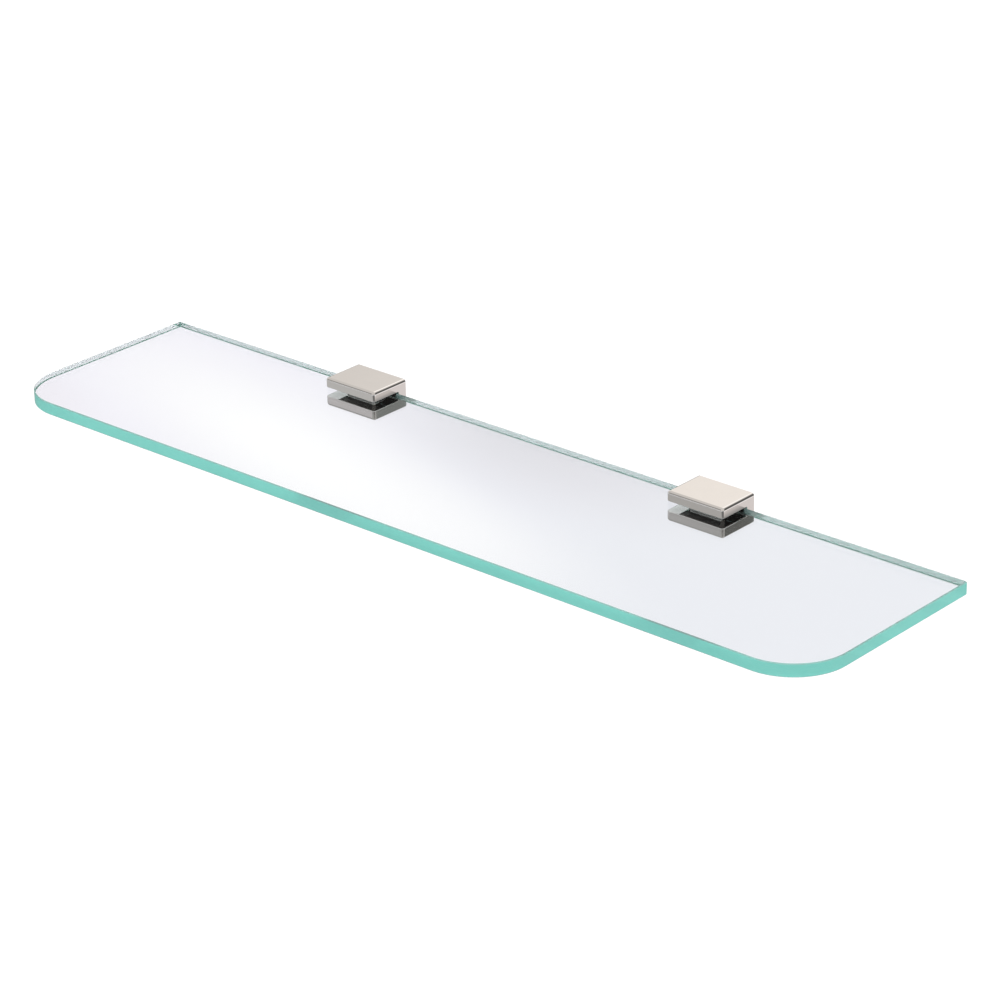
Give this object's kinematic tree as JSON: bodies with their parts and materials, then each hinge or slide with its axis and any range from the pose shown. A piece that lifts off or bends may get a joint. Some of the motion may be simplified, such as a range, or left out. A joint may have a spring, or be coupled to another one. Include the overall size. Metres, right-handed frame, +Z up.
{
  "type": "wall shelf",
  "caption": "Clear glass wall shelf with rounded front corners, held at its back edge by square polished clamp brackets with a slot for the glass and screws from below.",
  "frame": {"origin": "on the wall plane, midway between the two clamps and level with their wall screw holes", "axes": "+X along the shelf to the right as seen from the room, +Y into the wall, so the front edge is towards -Y, +Z up"},
  "size_m": [0.6, 0.15, 0.0226],
  "materials": {
    "shelf_glass": "clear, ground and polished edges with a green tint",
    "clamp_chrome": "mirror-polished plating on die-cast zinc",
    "black_rubber": "matt, smooth moulded",
    "plated_steel": "zinc plated, satin",
    "stainless_steel": "turned, satin"
  },
  "bodies": {
    "wall_brackets": {"left_clamp_body": "clamp_chrome", "left_upper_gasket": "black_rubber", "left_back_buffer": "black_rubber", "left_wall_plate": "plated_steel", "left_lock_screw_a": "stainless_steel", "left_lock_screw_b": "stainless_steel", "right_clamp_body": "clamp_chrome", "right_upper_gasket": "black_rubber", "right_back_buffer": "black_rubber", "right_wall_plate": "plated_steel", "right_lock_screw_a": "stainless_steel", "right_lock_screw_b": "stainless_steel"},
    "glass": {"glass_shelf": "shelf_glass"},
    "left_foot": {"left_pressure_plate": "plated_steel", "left_pressure_pad": "black_rubber"},
    "left_screw_a": {"left_clamp_screw_a": "stainless_steel"},
    "left_screw_b": {"left_clamp_screw_b": "stainless_steel"},
    "right_foot": {"right_pressure_plate": "plated_steel", "right_pressure_pad": "black_rubber"},
    "right_screw_a": {"right_clamp_screw_a": "stainless_steel"},
    "right_screw_b": {"right_clamp_screw_b": "stainless_steel"}
  },
  "joints": [
    {"name": "glass_slide", "type": "slide", "parent": "wall_brackets", "child": "glass", "axis": [0, -1, 0], "range_m": [0, 0.0205]},
    {"name": "left_foot_lift", "type": "slide", "parent": "wall_brackets", "child": "left_foot", "axis": [0, 0, 1], "range_m": [-0.00112, 0]},
    {"name": "left_screw_a_turn", "type": "hinge", "parent": "left_foot", "child": "left_screw_a", "pos_m": [-0.139, -0.014, -0.00697], "axis": [0, 0, 1], "range_deg": [-504, 0]},
    {"name": "left_screw_b_turn", "type": "hinge", "parent": "left_foot", "child": "left_screw_b", "pos_m": [-0.125, -0.014, -0.00697], "axis": [0, 0, 1], "range_deg": [-504, 0]},
    {"name": "right_foot_lift", "type": "slide", "parent": "wall_brackets", "child": "right_foot", "axis": [0, 0, 1], "range_m": [-0.00112, 0]},
    {"name": "right_screw_a_turn", "type": "hinge", "parent": "right_foot", "child": "right_screw_a", "pos_m": [0.125, -0.014, -0.00697], "axis": [0, 0, 1], "range_deg": [-504, 0]},
    {"name": "right_screw_b_turn", "type": "hinge", "parent": "right_foot", "child": "right_screw_b", "pos_m": [0.139, -0.014, -0.00697], "axis": [0, 0, 1], "range_deg": [-504, 0]}
  ],
  "couplings": [
    {"joint": "left_screw_a_turn", "follows": "left_foot_lift", "rad_per_m": 7854},
    {"joint": "left_screw_b_turn", "follows": "left_foot_lift", "rad_per_m": 7854},
    {"joint": "right_screw_a_turn", "follows": "right_foot_lift", "rad_per_m": 7854},
    {"joint": "right_screw_b_turn", "follows": "right_foot_lift", "rad_per_m": 7854}
  ]
}
